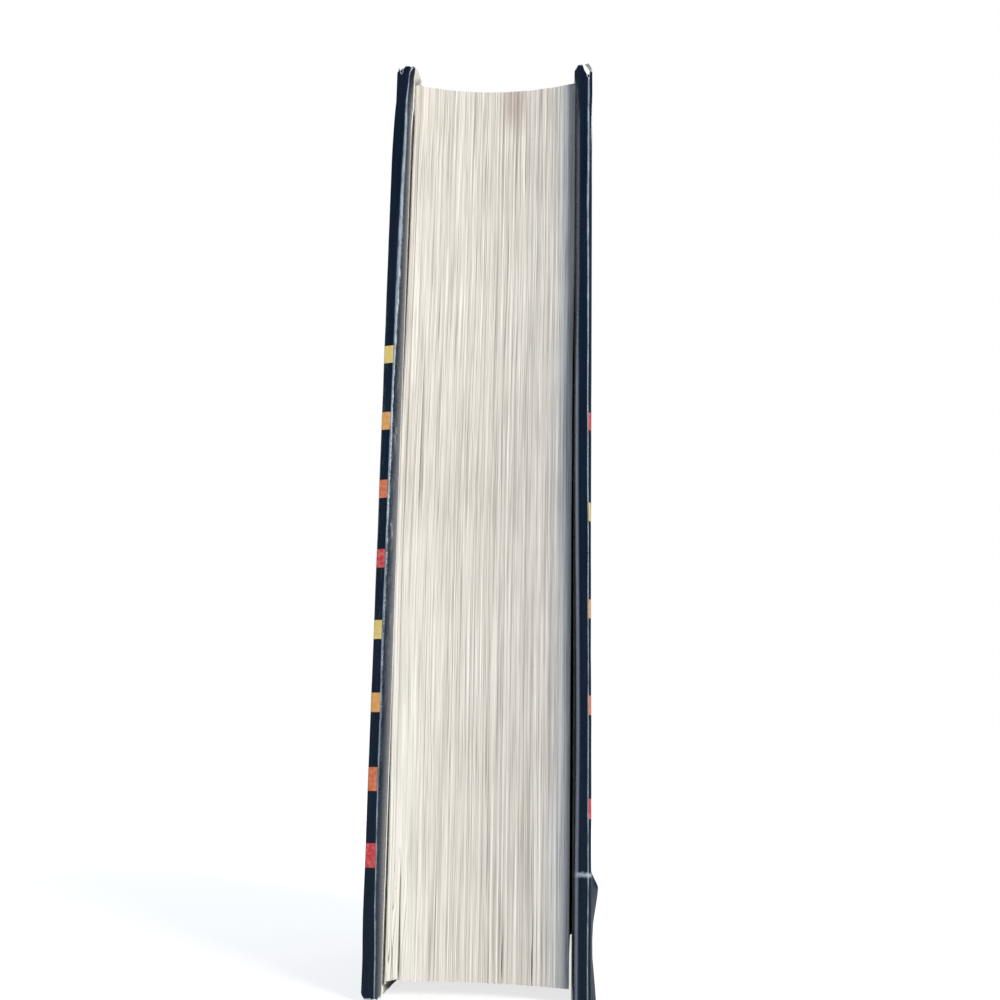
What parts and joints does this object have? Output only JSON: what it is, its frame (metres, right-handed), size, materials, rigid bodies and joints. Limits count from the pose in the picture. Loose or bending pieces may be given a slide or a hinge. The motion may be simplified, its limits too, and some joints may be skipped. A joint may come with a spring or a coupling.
{
  "type": "hardback book",
  "caption": "Thick hardback book with a rounded back, coved fore-edge, cloth case and creased dust jacket; both covers swing open.",
  "frame": {"origin": "middle of the box's base, on the surface that the book stands on", "axes": "+Z from tail to head, +X from front cover to back cover, +Y from fore-edge to spine"},
  "size_m": [0.056, 0.1686, 0.2414],
  "materials": {
    "pages": "cut edges of uncoated cream paper",
    "endpaper": "smooth uncoated cream paper",
    "board": "grey bookbinder's board",
    "case_cloth": "dark book cloth",
    "jacket": "gloss-laminated dark navy paper with warm colour bars at the fore-edge",
    "headband": "woven cotton band",
    "mull": "open starched gauze",
    "lining": "brown kraft paper"
  },
  "bodies": {
    "book_block": {"text_block": "pages", "front_flyleaf": "endpaper", "back_flyleaf": "endpaper", "mull": "mull", "spine_lining": "lining", "head_band": "headband", "tail_band": "headband", "spine_board": "board", "spine_case_cover": "case_cloth", "jacket_spine": "jacket"},
    "front_cover": {"front_board": "board", "front_case_cover": "case_cloth", "front_pastedown": "endpaper", "jacket_front": "jacket"},
    "back_cover": {"back_board": "board", "back_case_cover": "case_cloth", "back_pastedown": "endpaper", "jacket_back": "jacket"}
  },
  "joints": [
    {"name": "front_cover_hinge", "type": "hinge", "parent": "book_block", "child": "front_cover", "pos_m": [-0.0283, 0.06905, 0.1207], "axis": [0, 0, -1], "range_deg": [0, 180]},
    {"name": "back_cover_hinge", "type": "hinge", "parent": "book_block", "child": "back_cover", "pos_m": [0.0261, 0.06905, 0.1207], "axis": [0, 0, 1], "range_deg": [0, 180]}
  ]
}
